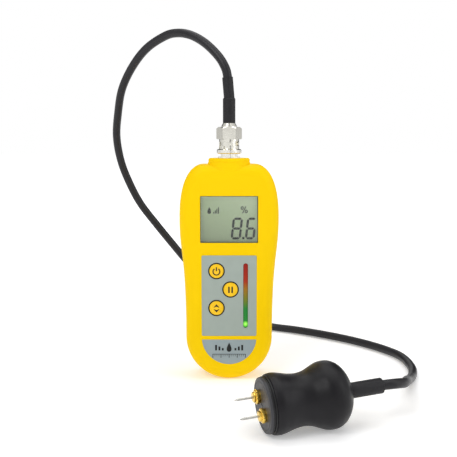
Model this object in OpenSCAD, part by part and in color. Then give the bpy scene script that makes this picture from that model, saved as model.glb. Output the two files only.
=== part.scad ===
// Handheld pin-type moisture meter with a remote two-pin probe on a screened lead.
// Millimetres. +Z is up, the front of the meter faces -Y, and the origin is the point
// on the standing surface under the middle of the meter's rounded foot.

/* [Case] */
// Height of the case, from the foot to the top of the socket collar
case_h = 126; // [125:0.5:127]
// Greatest width of the case, at the level of the display
case_w = 56; // [54:0.5:58]
// Width of the case at the straight part above the rounded foot
hip_w = 49; // [47:0.5:50]
// Depth of the case, front to back
case_d = 25; // [24:0.5:27]
// Radius of the long outer edges
edge_r = 6; // [4:0.5:6]
// Thickness of the case walls
wall = 2.2; // [1.8:0.1:2.4]

/* [Display and keys] */
// Width of the display window
window_w = 32.2; // [29:0.1:33]
// Height of the display window
window_h = 26.2; // [23:0.1:27]
// Height of the middle of the display window
window_z = 92.2; // [91.6:0.2:92.6]
// Width of the key label and of the name plate
label_w = 30.8; // [29:0.1:32]
// Height of the key label
label_h = 46; // [44:0.1:46.4]
// Diameter of the visible cap of each key
key_d = 7.9; // [7:0.1:8.2]
// How far a key goes in
key_travel = 0.6; // [0.3:0.1:0.8]
// Length of the row of indicator lights
light_h = 37; // [34:0.5:38]

/* [Battery cover] */
// Width of the battery cover
door_w = 35; // [34:0.5:35]
// Height of the battery cover
door_h = 50; // [49:0.5:50]

/* [Connector and lead] */
// Diameter of the lead
lead_d = 5; // [4.6:0.1:5]
// Width of the coupling nut across its corners
nut_d = 14.4; // [13.8:0.1:15]
// Height of the middle of the bayonet studs above the collar
stud_z = 8; // [7.5:0.1:8.5]

/* [Probe] */
// Greatest radius of the grip, at its rear bulge
grip_r = 16.18; // [15.8:0.02:16.18]
// Distance between the axes of the two pins
pin_pitch = 10; // [9:0.1:11]
// Diameter of a pin
pin_d = 1.1; // [0.8:0.1:1.2]
// Length of pin that stands in front of its chuck
pin_reach = 9; // [7:0.1:11]

/* [Hidden] */

$fn = 64;
gap = 0.25;                       // clearance round pieces that are dropped in
face_y = -case_d / 2;             // front face of the case
back_y = case_d / 2;              // back face of the case
hip_r = hip_w / 2;                // radius of the foot, and height of its centre
collar_z = case_h - 3.3;          // level of the shoulders at the root of the collar
collar_w = 23.8;
collar_reach = case_d / 2 - 0.05;  // from the middle to the front of the collar's bulge
collar_bulge_r = 14.9;
collar_shift = collar_bulge_r - collar_reach;
band_z = case_h - 2.2;             // foot of the collar's upper band
split_half = 15;                  // half width of the top part that stays on the front shell
split_z = 112;

// ---- case outline: half of it as arcs and curves, then mirrored -------------------------
function bezier(a, b, c, d, t) =
    pow(1 - t, 3) * a + 3 * pow(1 - t, 2) * t * b + 3 * (1 - t) * t * t * c + t * t * t * d;
foot_steps = 20;
side_steps = 10;
shoulder_steps = 14;
widest_z = 93;
half_outline = concat(
    [for (i = [0 : foot_steps]) let (a = -90 + 90 * i / foot_steps)
        [hip_r * cos(a), hip_r + hip_r * sin(a)]],
    [for (i = [1 : side_steps]) bezier([hip_r, hip_r], [hip_r, 73],
        [case_w / 2, 71], [case_w / 2, widest_z], i / side_steps)],
    [for (i = [1 : shoulder_steps]) bezier([case_w / 2, widest_z], [case_w / 2, 111],
        [23, collar_z], [14.5, collar_z], i / shoulder_steps)]);
half_count = len(half_outline);
outline = concat(half_outline,
    [for (i = [half_count - 1 : -1 : 1]) [-half_outline[i].x, half_outline[i].y]]);
count = len(outline);
function normal_at(i) = let (
    before = outline[(i + count - 1) % count], after = outline[(i + 1) % count],
    along = after - before) [along.y, -along.x] / norm(along);
normals = [for (i = [0 : count - 1]) normal_at(i)];
function ring(inset, y) = [for (i = [0 : count - 1])
    [outline[i].x - inset * normals[i].x, y, outline[i].y - inset * normals[i].y]];

// A closed skin over rings of equal length, with flat ends
module skin(rings) {
    n = len(rings[0]);
    m = len(rings);
    points = [for (r = rings) each r];
    faces = concat(
        [[for (i = [0 : n - 1]) i]],
        [for (k = [0 : m - 2], i = [0 : n - 1]) let (j = (i + 1) % n)
            [k * n + i, (k + 1) * n + i, (k + 1) * n + j, k * n + j]],
        [[for (i = [n - 1 : -1 : 0]) (m - 1) * n + i]]);
    polyhedron(points, faces, convexity = 8);
}

edge_steps = 7;
// Rings over the rounded edges, stacked so that the skins' faces point outwards
front_rings = concat([ring(0, 0)],
    [for (k = [edge_steps : -1 : 0]) let (a = 90 * k / edge_steps)
        ring(edge_r * (1 - sin(a)), face_y + edge_r * (1 - cos(a)))]);
back_rings = concat(
    [for (k = [0 : edge_steps]) let (a = 90 * k / edge_steps)
        ring(edge_r * (1 - sin(a)), back_y - edge_r * (1 - cos(a)))],
    [ring(0, 0)]);

// Draws a flat shape given in X and Z, from depth y0 to depth y1
module slab(y0, y1) {
    translate([0, y1, 0]) rotate([90, 0, 0]) linear_extrude(y1 - y0) children();
}
module outline_inset(d) { offset(delta = -d) polygon(outline); }
module box(low, high) { translate(low) cube(high - low); }
// A rectangle with round corners
module rounded(w, h, r) {
    square([w - 2 * r, h], center = true);
    square([w, h - 2 * r], center = true);
    for (x = [-1, 1], y = [-1, 1]) translate([x * (w / 2 - r), y * (h / 2 - r)]) circle(r);
}
// A bar with half-round ends, lying along the first axis
module pill(length, width) {
    square([length - width, width], center = true);
    for (x = [-1, 1]) translate([x * (length - width) / 2, 0]) circle(width / 2);
}
// A round bar along Y from y0 to y1
module bar_y(x, z, r, y0, y1) {
    translate([x, y1, z]) rotate([90, 0, 0]) cylinder(r = r, h = y1 - y0);
}
module bar_x(y, z, r, x0, x1) {
    translate([x0, y, z]) rotate([0, 90, 0]) cylinder(r = r, h = x1 - x0);
}
// A round bar along Z with optional bore
module tube_z(r, bore, z0, z1) {
    translate([0, 0, z0]) difference() {
        cylinder(r = r, h = z1 - z0);
        if (bore > 0) translate([0, 0, -1]) cylinder(r = bore, h = z1 - z0 + 2);
    }
}

// ---- places inside the case ---------------------------------------------------------------
label_z = 49.1;
label_recess = 0.4;
label_y = face_y + label_recess;
label_t = 0.35;
plate_top = 24;
plate_r = label_w / 2;
plate_centre_z = 25.1;
keys = [[-7.1, 63.3], [0.8, 52.8], [-7.1, 42.2]];
key_hole_r = key_d / 2 + 0.15;
key_ring_r = key_hole_r + 0.55;
light_x = 9.25;
light_z = 49.2;
light_w = 2.7;
board_y0 = -4.6;
board_y1 = -3;
boss_r = 2.9;
upper_screw = [18.8, 111.5];
lower_screw = [11, 9];
case_screw_at = [for (s = [-1, 1], p = [upper_screw, lower_screw]) [s * p.x, p.y]];
board_screw_at = [[-19, 73.5], [19, 73.5]];
door_z0 = 19.5;
door_z1 = door_z0 + door_h;
door_t = 1.8;
door_y = back_y - 0.3 - door_t / 2;   // mid-thickness of the cover, where its hinge pins are
hinge_z = door_z1 - door_t / 2 - 0.3;
cell_r = 5.2;
cell_h = 44.5;
cell_y = 4.5;
cell_pitch = 10.9;
cell_z0 = 22.6;
bay_half = 16.4;
bay_wall = 1.2;
hinge_boss_w = 1.9;
hinge_pin_out = 1.2;               // how far each hinge pin stands out of the cover
hinge_bore_r = door_t / 2 + 0.08;
hinge_bore_half = door_w / 2 + hinge_pin_out + 0.4;
seal_t = 0.6;
groove_z = 87;                     // middle of the row of finger grooves on the back
groove_pitch = 4;
recess_r = 0.8;                    // corners of the label recess
bay_z0 = 20.6;
bay_z1 = 68.6;
bay_floor_y = -1;
socket_bore_r = 4.85;
wall_under = collar_z - 4.7;       // underside of the solid wall that the socket is fastened to

// ---- case -------------------------------------------------------------------------------
// Seen from above the collar bulges to the front and back, so that it meets the rolled edge of
// the face in a shallow V. Its upper band is set in by a little.
module collar_plan(inset) {
    intersection() {
        square([collar_w - 2 * inset, case_d], center = true);
        for (y = [-collar_shift, collar_shift]) translate([0, y]) circle(collar_bulge_r - inset, $fn = 160);
    }
}
module collar() {
    translate([0, 0, collar_z - 6]) linear_extrude(band_z - collar_z + 6) collar_plan(0);
    translate([0, 0, band_z - 1]) linear_extrude(case_h - band_z + 0.5) collar_plan(0.35);
    translate([0, 0, case_h - 1]) linear_extrude(1) collar_plan(0.8);
}
// The part of the top that the front shell keeps, so that the socket's bore is in one piece
module top_block() { box([-split_half, -1, split_z], [split_half, back_y + 1, case_h + 1]); }
module cavity(y0, y1) {
    slab(max(y0, face_y + wall), min(y1, back_y - wall)) outline_inset(edge_r * 0.7);
    slab(max(y0, face_y + 4.2), min(y1, back_y - 4.2)) outline_inset(wall);
}
module front_shell() {
    color([0.97, 0.80, 0.03]) difference() {
        union() {
            difference() {
                union() {
                    skin(front_rings);
                    intersection() { skin(back_rings); top_block(); }
                    collar();
                }
                difference() {
                    union() {
                        cavity(face_y, 0.01);
                        intersection() { cavity(-0.5, back_y); top_block(); }
                    }
                    box([-collar_w / 2, face_y, wall_under], [collar_w / 2, back_y, case_h]);
                }
            }
            for (p = case_screw_at) bar_y(p.x, p.y, boss_r, face_y + wall - 0.1, 0);
            for (p = board_screw_at) bar_y(p.x, p.y, 2.2, face_y + wall - 0.1, board_y0);
        }
        slab(face_y - 1, face_y + wall + 1)
            translate([0, window_z]) square([window_w, window_h], center = true);
        slab(face_y - 1, label_y) translate([0, label_z]) rounded(label_w, label_h, recess_r);
        slab(face_y - 1, label_y) half_moon(plate_r);
        for (k = keys) bar_y(k.x, k.y, key_hole_r, face_y - 1, face_y + wall + 1);
        slab(face_y - 1, face_y + wall + 1) translate([light_x, light_z]) rotate(90) pill(light_h, light_w);
        for (p = case_screw_at) bar_y(p.x, p.y, 1.2, -6, 1);
        for (p = board_screw_at) bar_y(p.x, p.y, 0.9, board_y0 - 4, board_y0 + 1);
        tube_z(socket_bore_r, 0, collar_z - 6, case_h + 1);
    }
}
module half_moon(r) {
    intersection() {
        translate([0, plate_centre_z]) circle(r);
        translate([-r, 0]) square([2 * r, plate_top]);
    }
}
module rear_shell() {
    color([0.95, 0.78, 0.03]) difference() {
        union() {
            difference() {
                skin(back_rings);
                cavity(-0.01, back_y);
                top_block();
            }
            for (p = case_screw_at) bar_y(p.x, p.y, boss_r + 0.6, 0, back_y - 0.5);
            // battery bay: floor, side walls and end walls
            difference() {
                box([-bay_half - bay_wall, bay_floor_y - bay_wall, bay_z0 - bay_wall],
                    [bay_half + bay_wall, back_y - wall + 0.1, bay_z1 + bay_wall]);
                box([-bay_half, bay_floor_y, bay_z0], [bay_half, back_y, bay_z1]);
            }
            for (x = [-door_w / 2 - gap - hinge_boss_w, door_w / 2 + gap])
                bar_x(door_y - 0.6, hinge_z, 1.7, x, x + hinge_boss_w);
        }
        slab(back_y - wall - 0.6, back_y + 1) door_opening();
        slab(bay_floor_y, back_y) bay_opening();
        bar_x(door_y, hinge_z, hinge_bore_r, -hinge_bore_half, hinge_bore_half);
        for (p = case_screw_at) {
            bar_y(p.x, p.y, 1.5, -1, back_y + 1);
            bar_y(p.x, p.y, 2.7, back_y - 4.5, back_y + 1);
        }
        slab(-0.01, seal_t) seal_band();
        slab(back_y - 0.6, back_y + 1) for (i = [-2 : 2])
            translate([0, groove_z + groove_pitch * i]) pill(22, 1.4);
    }
}
module door_opening() {
    translate([0, (door_z0 + door_z1) / 2]) square([door_w + 2 * gap, door_h + 2 * gap], center = true);
}
module bay_opening() {
    translate([-bay_half, bay_z0]) square([2 * bay_half, bay_z1 - bay_z0]);
}
// The band round the parting plane that the seal fills, left open at the top
module seal_band() {
    difference() {
        outline_inset(0.8);
        outline_inset(1.5);
        translate([-split_half - 0.5, split_z - 0.5]) square([2 * split_half + 1, 20]);
    }
}
module case_seal() {
    color([0.12, 0.12, 0.12]) slab(0, seal_t) seal_band();
}
// A cross-headed screw whose head's face is at y1 and which points towards -Y
module screw_y(x, z, y1, shaft_r, shaft_h, head_r, head_h) {
    difference() {
        union() {
            bar_y(x, z, head_r, y1 - head_h, y1);
            bar_y(x, z, shaft_r, y1 - head_h - shaft_h, y1 - head_h);
        }
        for (a = [0, 90]) translate([x, y1, z]) rotate([0, a, 0])
            cube([head_r * 1.3, head_h, head_r * 0.3], center = true);
    }
}
module case_screws() {
    color([0.35, 0.35, 0.37])
        for (p = case_screw_at) screw_y(p.x, p.y, back_y - 2.7, 1.2, 14, 2.5, 1.8);
}

// ---- display ----------------------------------------------------------------------------
window_y = face_y + 0.35;
window_flange_y = face_y + wall;
glass_y = window_flange_y + 1;
window_rim = 1.5;                  // how far the window's flange and the display reach past the opening
module display_window() {
    color([0.86, 0.9, 0.88, 0.35]) {
        slab(window_y, window_flange_y) translate([0, window_z])
            square([window_w - 0.1, window_h - 0.1], center = true);
        slab(window_flange_y, window_flange_y + 0.8) translate([0, window_z])
            square([window_w + 2 * window_rim, window_h + 2 * window_rim], center = true);
    }
}
module lcd_panel() {
    color([0.67, 0.71, 0.66]) slab(glass_y, glass_y + 2) translate([0, window_z])
        square([window_w + 2 * window_rim, window_h + 2 * window_rim], center = true);
}
frame_wall = 1.2;
frame_w = window_w + 2 * window_rim + 0.4;
frame_h = window_h + 2 * window_rim + 0.4;
module lcd_frame() {
    color([0.9, 0.9, 0.88]) difference() {
        slab(window_flange_y + 0.8, board_y0) translate([0, window_z])
            square([frame_w + 2 * frame_wall, frame_h + 2 * frame_wall], center = true);
        slab(window_flange_y, board_y0 + 1) translate([0, window_z])
            square([frame_w, frame_h], center = true);
    }
}
module lcd_strips() {
    color([0.9, 0.45, 0.55]) for (s = [-1, 1])
        slab(glass_y + 2, board_y0) translate([0, window_z + s * (window_h / 2)])
            square([window_w - 2, 2.4], center = true);
}

// ---- key panel --------------------------------------------------------------------------
module keypad_label() {
    color([0.61, 0.66, 0.62]) slab(label_y - label_t, label_y) difference() {
        translate([0, label_z]) rounded(label_w - 0.1, label_h - 0.1, recess_r);
        for (k = keys) translate(k) circle(key_ring_r + 0.02);
        translate([light_x, light_z]) rotate(90) pill(light_h, light_w);
    }
}
module name_plate() {
    color([0.57, 0.62, 0.62]) slab(label_y - label_t, label_y) difference() {
        half_moon(plate_r - 0.05);
        translate([0, plate_top]) square([2 * plate_r, 0.1], center = true);
    }
}
module key_rings() {
    color([0.08, 0.08, 0.08]) for (k = keys) difference() {
        bar_y(k.x, k.y, key_ring_r, label_y - 0.5, label_y);
        bar_y(k.x, k.y, key_hole_r, label_y - 1, label_y + 1);
    }
}
switch_top_y = board_y0 - 3.2;
stem_r = 1.2;
stem_in = 0.6;                     // how far a key's stem stands in its switch at rest
key_flange_y = face_y + wall + 0.05;
// A domed key cap, a flange that keeps it behind the wall, and a stem into its switch
module key_cap(k) {
    color([1, 0.76, 0.08]) translate([k.x, 0, k.y]) rotate([90, 0, 0]) rotate_extrude() {
        dome_y = -face_y + 0.15;
        polygon(concat([[0, -switch_top_y - stem_in], [stem_r, -switch_top_y - stem_in],
            [stem_r, -key_flange_y - 0.8], [key_d / 2 + 0.8, -key_flange_y - 0.8],
            [key_d / 2 + 0.8, -key_flange_y], [key_d / 2, -key_flange_y], [key_d / 2, dome_y]],
            [for (i = [1 : 8]) [key_d / 2 * cos(90 * i / 8), dome_y + 0.75 * sin(90 * i / 8)]]));
    }
}
module power_key() { key_cap(keys[0]); }
module hold_key() { key_cap(keys[1]); }
module mode_key() { key_cap(keys[2]); }
module key_switches() {
    color([0.2, 0.2, 0.22]) for (k = keys) difference() {
        box([k.x - 2.6, switch_top_y, k.y - 2.6], [k.x + 2.6, board_y0, k.y + 2.6]);
        bar_y(k.x, k.y, stem_r + 0.2, switch_top_y - 1, switch_top_y + stem_in + key_travel + 0.4);
    }
}
module light_bar() {
    color([0.5, 0.6, 0.2]) slab(label_y - 0.1, board_y0 - 1.5) translate([light_x, light_z])
        rotate(90) pill(light_h - 0.1, light_w - 0.1);
}
led_count = 12;
module indicator_leds() {
    color([0.95, 0.95, 0.85]) for (i = [0 : led_count - 1])
        let (z = light_z - light_h / 2 + 2 + i * (light_h - 4) / (led_count - 1))
            box([light_x - 0.6, board_y0 - 1.1, z - 0.8], [light_x + 0.6, board_y0, z + 0.8]);
}

// ---- circuit board ----------------------------------------------------------------------
module circuit_board() {
    color([0.08, 0.38, 0.18]) difference() {
        slab(board_y0, board_y1) intersection() {
            outline_inset(wall + 0.8);
            translate([-40, 16]) square([80, 93]);
        }
        for (p = case_screw_at) bar_y(p.x, p.y, boss_r + 1, board_y0 - 1, board_y1 + 1);
        for (p = board_screw_at) bar_y(p.x, p.y, 1.2, board_y0 - 1, board_y1 + 1);
    }
}
module board_chips() {
    color([0.1, 0.1, 0.11]) {
        box([-7, board_y1, 86], [7, board_y1 + 1.6, 100]);
        box([10, board_y1, 88], [15, board_y1 + 1.4, 94]);
        box([-15, board_y1, 94], [-10, board_y1 + 1.4, 99]);
    }
}
module board_crystal() {
    color([0.75, 0.75, 0.77]) bar_x(board_y1 + 1.5, 82, 1.5, -4, 4);
}
module board_screws() {
    color([0.6, 0.6, 0.62]) for (p = board_screw_at) screw_y(p.x, p.y, board_y1 + 1.2, 0.9, 5, 1.9, 1.2);
}

// ---- batteries --------------------------------------------------------------------------
module battery_door() {
    color([0.93, 0.76, 0.03]) difference() {
        union() {
            slab(door_y - door_t / 2, door_y + door_t / 2) translate([-door_w / 2, door_z0])
                square([door_w, hinge_z - door_z0]);
            bar_x(door_y, hinge_z, door_t / 2, -door_w / 2 - hinge_pin_out, door_w / 2 + hinge_pin_out);
        }
        slab(door_y + door_t / 2 - 0.5, door_y + door_t) {
            translate([0, door_z0 + 4]) pill(12, 3);
            for (i = [0 : 2]) translate([0, door_z0 + 9 + 3 * i]) pill(12, 1.2);
        }
    }
}
cells_x = [for (i = [-1 : 1]) i * cell_pitch];
// Which end of each cell its positive button is at: 1 is the top
cell_up = [1, -1, 1];
module batteries() {
    color([0.25, 0.3, 0.42]) for (i = [0 : 2]) translate([cells_x[i], cell_y, 0]) {
        up = cell_up[i] > 0;
        tube_z(cell_r, 0, cell_z0 + (up ? 0 : 1), cell_z0 + cell_h - (up ? 1 : 0));
        tube_z(1.9, 0, up ? cell_z0 + cell_h - 1 : cell_z0, up ? cell_z0 + cell_h : cell_z0 + 1);
    }
}
// A stepped cup that stands for a conical contact spring
module contact_spring(z0, z1) {
    third = (z1 - z0) / 3;
    rotate_extrude() polygon([[2.5, z0], [3.4, z0], [3.4, z0 + third], [3, z0 + third],
        [3, z0 + 2 * third], [2.6, z0 + 2 * third], [2.6, z1], [1.7, z1],
        [1.7, z0 + 2 * third], [2.1, z0 + 2 * third], [2.1, z0 + third], [2.5, z0 + third]]);
}
module battery_springs() {
    color([0.8, 0.8, 0.8]) for (i = [0 : 2]) translate([cells_x[i], cell_y, 0])
        if (cell_up[i] > 0) contact_spring(bay_z0 + 0.3, cell_z0);
        else mirror([0, 0, 1]) contact_spring(-bay_z1 + 0.3, -cell_z0 - cell_h);
}
module battery_plates() {
    color([0.78, 0.78, 0.74]) for (i = [0 : 2]) {
        x = cells_x[i];
        box([x - 4.4, cell_y - 4.4, bay_z0], [x + 4.4, cell_y + 4.4, bay_z0 + 0.3]);
        box([x - 4.4, cell_y - 4.4, bay_z1 - 0.3], [x + 4.4, cell_y + 4.4, bay_z1]);
        contact = cell_up[i] > 0 ? [cell_z0 + cell_h, bay_z1 - 0.2] : [bay_z0 + 0.2, cell_z0];
        box([x - 1.4, cell_y - 1.4, contact[0]], [x + 1.4, cell_y + 1.4, contact[1]]);
    }
}
module battery_wires() {
    for (s = [-1, 1]) color(s > 0 ? "red" : "black")
        translate([s * 12, 0.4, 0]) tube_z(0.6, 0, bay_z1 + 1.4, 83);
}

// ---- socket: heights are above the top of the collar --------------------------------------
module on_collar() { translate([0, 0, case_h]) children(); }
socket_r = 4.8;
socket_top = 10.4;
stud_turn = 15;
module studs(r) {
    for (s = [0, 52]) rotate([0, 0, stud_turn + s])
        translate([0, -socket_r + 0.3, stud_z]) rotate([90, 0, 0]) cylinder(r = r, h = 1.15);
}
module socket_body() {
    color([0.8, 0.79, 0.75]) on_collar() {
        difference() {
            union() {
                tube_z(6.35, 0, 0, 1);
                tube_z(socket_r, 0, 1, socket_top);
                tube_z(4.75, 0, -15, 0);
            }
            tube_z(4.15, 0, 3.5, socket_top + 1);
            tube_z(3, 0, -17, 3.5);
        }
        studs(1);
    }
}
module socket_insulator() {
    color([0.95, 0.95, 0.93]) on_collar() difference() {
        union() {
            tube_z(3, 0, -14, 3.5);
            tube_z(2.3, 0, 3.5, 8.5);
        }
        tube_z(1.1, 0, -17, 12);
    }
}
module socket_contact() {
    color([0.85, 0.68, 0.25]) on_collar() difference() {
        tube_z(1.1, 0, -18, 8);
        tube_z(0.72, 0, 2, 9);
    }
}
module socket_washer() {
    color([0.72, 0.72, 0.7]) tube_z(7.4, 4.85, wall_under - 0.8, wall_under);
}
module socket_nut() {
    color([0.78, 0.76, 0.7]) difference() {
        translate([0, 0, wall_under - 3]) cylinder(r = 6.9, h = 2.2, $fn = 6);
        tube_z(4.75, 0, wall_under - 4, wall_under);
    }
}
module socket_wires() {
    on_collar() for (s = [0, 1]) color(s == 0 ? "white" : "black")
        translate([s * 3.9, s * 0.5, 0]) tube_z(0.6, 0, -24, s == 0 ? -18 : -15);
}

// ---- plug on the end of the lead ----------------------------------------------------------
nut_z0 = 2.5;
nut_rim_z = 5;
nut_hex_z = 10.5;
nut_top = 17.4;
nut_bore_r = 4.95;
way_r = 5.95;                      // how far out the studs' ways in are cut; the rim stays whole
boot_z = 19.5;
module plug_body() {
    color([0.84, 0.83, 0.79]) on_collar() difference() {
        union() {
            tube_z(4.05, 0, 4.2, 10.7);
            tube_z(4.65, 0, 10.7, 15.6);
            tube_z(4.1, 0, 15.6, 17.7);
            translate([0, 0, 17.7]) cylinder(r1 = 4.5, r2 = 3.5, h = boot_z - 17.7);
        }
        tube_z(3.4, 0, 3, 11);
        tube_z(2.5, 0, 10.5, boot_z + 1);
    }
}
module plug_spring() {
    color([0.7, 0.7, 0.68]) on_collar() tube_z(4.65, 4.15, 15.6, 16.6);
}
module plug_insulator() {
    color([0.95, 0.95, 0.92]) on_collar() difference() {
        union() {
            tube_z(3.35, 0, 8.8, 10.9);
            tube_z(2.45, 0, 10.9, 19);
        }
        tube_z(0.7, 0, 8, 20);
    }
}
module plug_pin() {
    color([0.85, 0.68, 0.25]) on_collar() {
        tube_z(0.66, 0, 4, 19);
        translate([0, 0, 3]) cylinder(r1 = 0.2, r2 = 0.66, h = 1);
    }
}
// The bayonet nut: a mouth rim, a slotted sleeve and a six-sided grip
module coupling_nut() {
    color([0.86, 0.85, 0.81]) on_collar() difference() {
        union() {
            rotate_extrude() polygon([[0, nut_z0], [6.5, nut_z0], [6.95, nut_z0 + 0.4],
                [6.95, nut_rim_z - 0.4], [6.5, nut_rim_z], [5.65, nut_rim_z + 0.3], [5.65, nut_hex_z], [0, nut_hex_z]]);
            intersection() {
                translate([0, 0, nut_hex_z]) cylinder(r = nut_d / 2, h = nut_top - nut_hex_z, $fn = 6);
                rotate_extrude() polygon([[0, nut_hex_z], [6.7, nut_hex_z],
                    [nut_d / 2 + 0.1, nut_hex_z + 0.4], [nut_d / 2 + 0.1, nut_top - 1], [6.2, nut_top], [0, nut_top]]);
            }
        }
        tube_z(nut_bore_r, 0, nut_z0 - 1, 16.6);
        tube_z(4.25, 0, 16, nut_top + 1);
        for (s = [0, 52]) rotate([0, 0, stud_turn + s]) {
            // the place where the stud rests, the turn towards it, and the way in from the mouth
            translate([0, 0, stud_z]) rotate([90, 0, 0]) cylinder(r = 1.35, h = 8);
            bayonet_turn();
            rotate([0, 0, -nut_turn]) translate([-1.3, -way_r, nut_z0 - 1])
                cube([2.6, way_r, stud_z - nut_z0 + 2]);
        }
    }
}
nut_turn = 88;
module bayonet_turn() {
    translate([0, 0, stud_z - 1.2]) rotate([0, 0, -90 - nut_turn]) rotate_extrude(angle = nut_turn)
        translate([3, 0]) square([5, 2.4]);
}
module plug_ferrule() {
    color([0.8, 0.78, 0.72]) on_collar() tube_z(3, lead_d / 2 + 0.02, boot_z, 31);
}
module plug_boot() {
    color([0.17, 0.165, 0.18]) on_collar() difference() {
        union() {
            tube_z(3.5, 0, boot_z, 33);
            translate([0, 0, 33]) cylinder(r1 = 3.5, r2 = 3.1, h = 0.6);
        }
        tube_z(3, 0, boot_z - 1, 31);
        tube_z(lead_d / 2 + 0.02, 0, 30, 35);
    }
}
sleeve_base = 33.6;
sleeve_lean = atan2(1, 12);
module plug_sleeve() {
    color([0.15, 0.145, 0.16]) on_collar() difference() {
        intersection() {
            translate([0, 0, 34]) rotate([0, -sleeve_lean, 0]) translate([0, 0, -2])
                cylinder(r = 3, h = 13);
            box([-8, -8, sleeve_base], [8, 8, 52]);
        }
        translate([0, 0, 34]) rotate([0, -sleeve_lean, 0]) translate([0, 0, -3])
            cylinder(r = lead_d / 2 + 0.02, h = 20);
    }
}

// ---- probe: placed by the point where the lead enters its boot ----------------------------
probe_tail = [74.9, -74.1, 18.3];
probe_heading = 15.5;
probe_tilt = 4;
pin_roll = 50;                     // turn of the pair of pins about the probe's axis
boot_mouth = 1.2;
boot_len = 18.5;
face_at = 62;                      // distance of the front face from the tail
module on_probe() {
    translate(probe_tail) rotate([0, -90 - probe_tilt, probe_heading]) rotate([0, 0, pin_roll])
        children();
}
function probe_point(d) = probe_tail + d * [-cos(probe_heading) * cos(probe_tilt),
    -sin(probe_heading) * cos(probe_tilt), -sin(probe_tilt)];

// ---- lead -------------------------------------------------------------------------------
// The middle of the lead: up out of the plug, over to the left, down behind the meter,
// along the standing surface to the right and round into the probe
route = [[0, 0, 148], [0, 0, 160], [-1, 0, 172], [-3, 1, 178], [-7, 4, 184], [-14, 9, 191],
    [-22, 15, 196], [-30, 21, 198], [-38, 27, 197], [-50, 37, 191], [-60, 47, 181], [-68, 57, 168],
    [-72, 65, 153], [-74, 71, 138], [-72, 75, 122], [-67, 79, 107], [-60, 81, 93], [-50, 84, 79],
    [-40, 86, 66], [-29, 88, 52], [-18, 90.5, 38], [-6, 94, 24.5], [6, 97, 13], [18, 99.5, 5.5],
    [31, 98.5, 3], [47, 90, 3], [61, 80.5, 3], [73, 71, 3], [84.5, 60, 3], [94.5, 48, 3], [102, 36, 3],
    [106, 26.5, 3], [107.5, 17.5, 3], [107.8, 8.5, 3], [107, -2, 3], [104.2, -12.5, 3], [100, -24.3, 5],
    [95.8, -36.2, 8], [92.5, -48, 12], [89.4, -59, 15], [86.3, -67, 17], [81.2, -72.3, 18.4],
    probe_tail, probe_point(6)];
route_end = len(route) - 1;
// A smooth curve that goes through every point of the route
function curve_at(i, t) = let (
    b = route[i], c = route[i + 1],
    a = i > 0 ? route[i - 1] : 2 * b - c,
    d = i < route_end - 1 ? route[i + 2] : 2 * c - b)
    0.5 * (2 * b + (c - a) * t + (2 * a - 5 * b + 4 * c - d) * t * t
        + (3 * b - a - 3 * c + d) * t * t * t);
// Long steps get a ring halfway as well
middle_line = [for (i = [0 : route_end - 1])
    each (norm(route[i + 1] - route[i]) > 13 || i == 2 || i == 3 || i > 33 && i < route_end - 1
        ? [curve_at(i, 0), curve_at(i, 0.5)] : [curve_at(i, 0)]),
    route[route_end]];
line_end = len(middle_line) - 1;
function unit(v) = v / norm(v);
function heading_at(i) = unit(middle_line[min(i + 1, line_end)] - middle_line[max(i - 1, 0)]);
// The across direction is carried along the curve, so that the tube doesn't twist
function carried(i, across) = i > line_end ? [] :
    let (h = heading_at(i), kept = unit(across - (across * h) * h))
        concat([[h, kept]], carried(i + 1, kept));
lead_sides = 10;
lead_frames = carried(0, [1, 0, 0]);
lead_rings = [for (i = [0 : line_end]) let (h = lead_frames[i][0], u = lead_frames[i][1], v = cross(h, u))
    [for (k = [0 : lead_sides - 1]) let (a = 360 * k / lead_sides)
        middle_line[i] + lead_d / 2 * (cos(a) * u + sin(a) * v)]];
module lead() { color([0.17, 0.165, 0.18]) skin(lead_rings); }

// ---- probe pieces, along Z in the probe's own frame, the pins pointing towards +Z ---------
// Outer profile of the grip: distance behind the front face, radius
grip_profile = [[3.2, 13.6], [3.6, 14.1], [6.5, 14.38], [10, 13.7], [14, 12.75], [18, 12.35],
    [22, 12.9], [25.5, 14.3], [29, 15.75], [32, grip_r], [35, 15.85], [38, 14.3], [40.5, 11.6],
    [42.3, 8.2], [43.5, 4]];
grip_last = len(grip_profile) - 1;
function grip_curve(i, t) = let (
    b = grip_profile[i], c = grip_profile[i + 1],
    a = i > 0 ? grip_profile[i - 1] : 2 * b - c,
    d = i < grip_last - 1 ? grip_profile[i + 2] : 2 * c - b)
    0.5 * (2 * b + (c - a) * t + (2 * a - 5 * b + 4 * c - d) * t * t
        + (3 * b - a - 3 * c + d) * t * t * t);
grip_line = [for (i = [0 : grip_last - 1], t = [0 : 0.25 : 0.8]) grip_curve(i, t),
    grip_profile[grip_last]];
core_r = 10.8;
core_back = 22;                    // distances from the tail
core_front = 58.6;
module probe_grip() {
    color([0.16, 0.155, 0.17]) on_probe() rotate_extrude($fn = 96) difference() {
        polygon(concat([[0, face_at - 3.2]], [for (p = grip_line) [p.y, face_at - p.x]],
            [[0, face_at - 43.5]]));
        translate([0, core_back]) square([core_r, core_front - core_back + 2]);
        square([lead_d / 2 + 0.5, core_back + 1]);
    }
}
module probe_boot() {
    color([0.15, 0.145, 0.16]) on_probe() difference() {
        union() {
            tube_z(3.8, 0, boot_mouth, boot_len);
            tube_z(3, 0, boot_len, core_back);
        }
        tube_z(lead_d / 2 + 0.02, 0, -1, 6);
        tube_z(1.6, 0, 5, core_back + 1);
    }
}
module probe_core() {
    color([0.2, 0.2, 0.21]) on_probe() difference() {
        tube_z(core_r, 0, core_back, core_front);
        tube_z(core_r - 1.8, 0, core_back + 2, core_front + 1);
        tube_z(1.6, 0, core_back - 1, core_back + 3);
    }
}
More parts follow.
